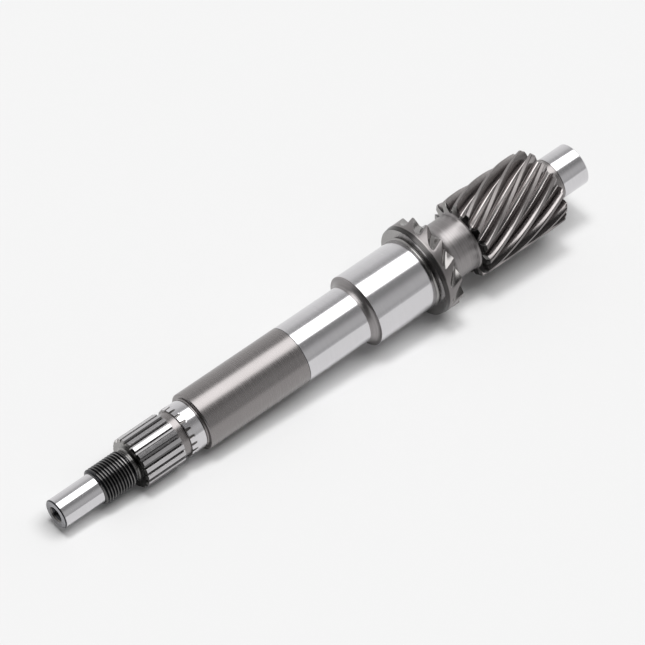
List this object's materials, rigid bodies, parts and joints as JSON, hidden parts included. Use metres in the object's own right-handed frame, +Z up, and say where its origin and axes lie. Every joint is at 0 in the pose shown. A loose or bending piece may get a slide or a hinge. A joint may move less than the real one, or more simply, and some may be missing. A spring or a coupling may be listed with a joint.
{
  "type": "gearbox output shaft",
  "caption": "One-piece steel shaft with a threaded and splined end, ground seats, a notched flange and a helical pinion.",
  "frame": {"origin": "centre of the shaft's bounding box, on the shaft axis half way between the two end faces", "axes": "+X along the shaft axis from the threaded end to the plain end beside the pinion, +Z up as the shaft lies on a bench"},
  "size_m": [0.2974, 0.0448, 0.045],
  "materials": {
    "steel": "ground and turned bare steel, bright on the seats, darker on the tooth flanks"
  },
  "bodies": {
    "root": {"output_shaft": "steel"}
  },
  "joints": []
}
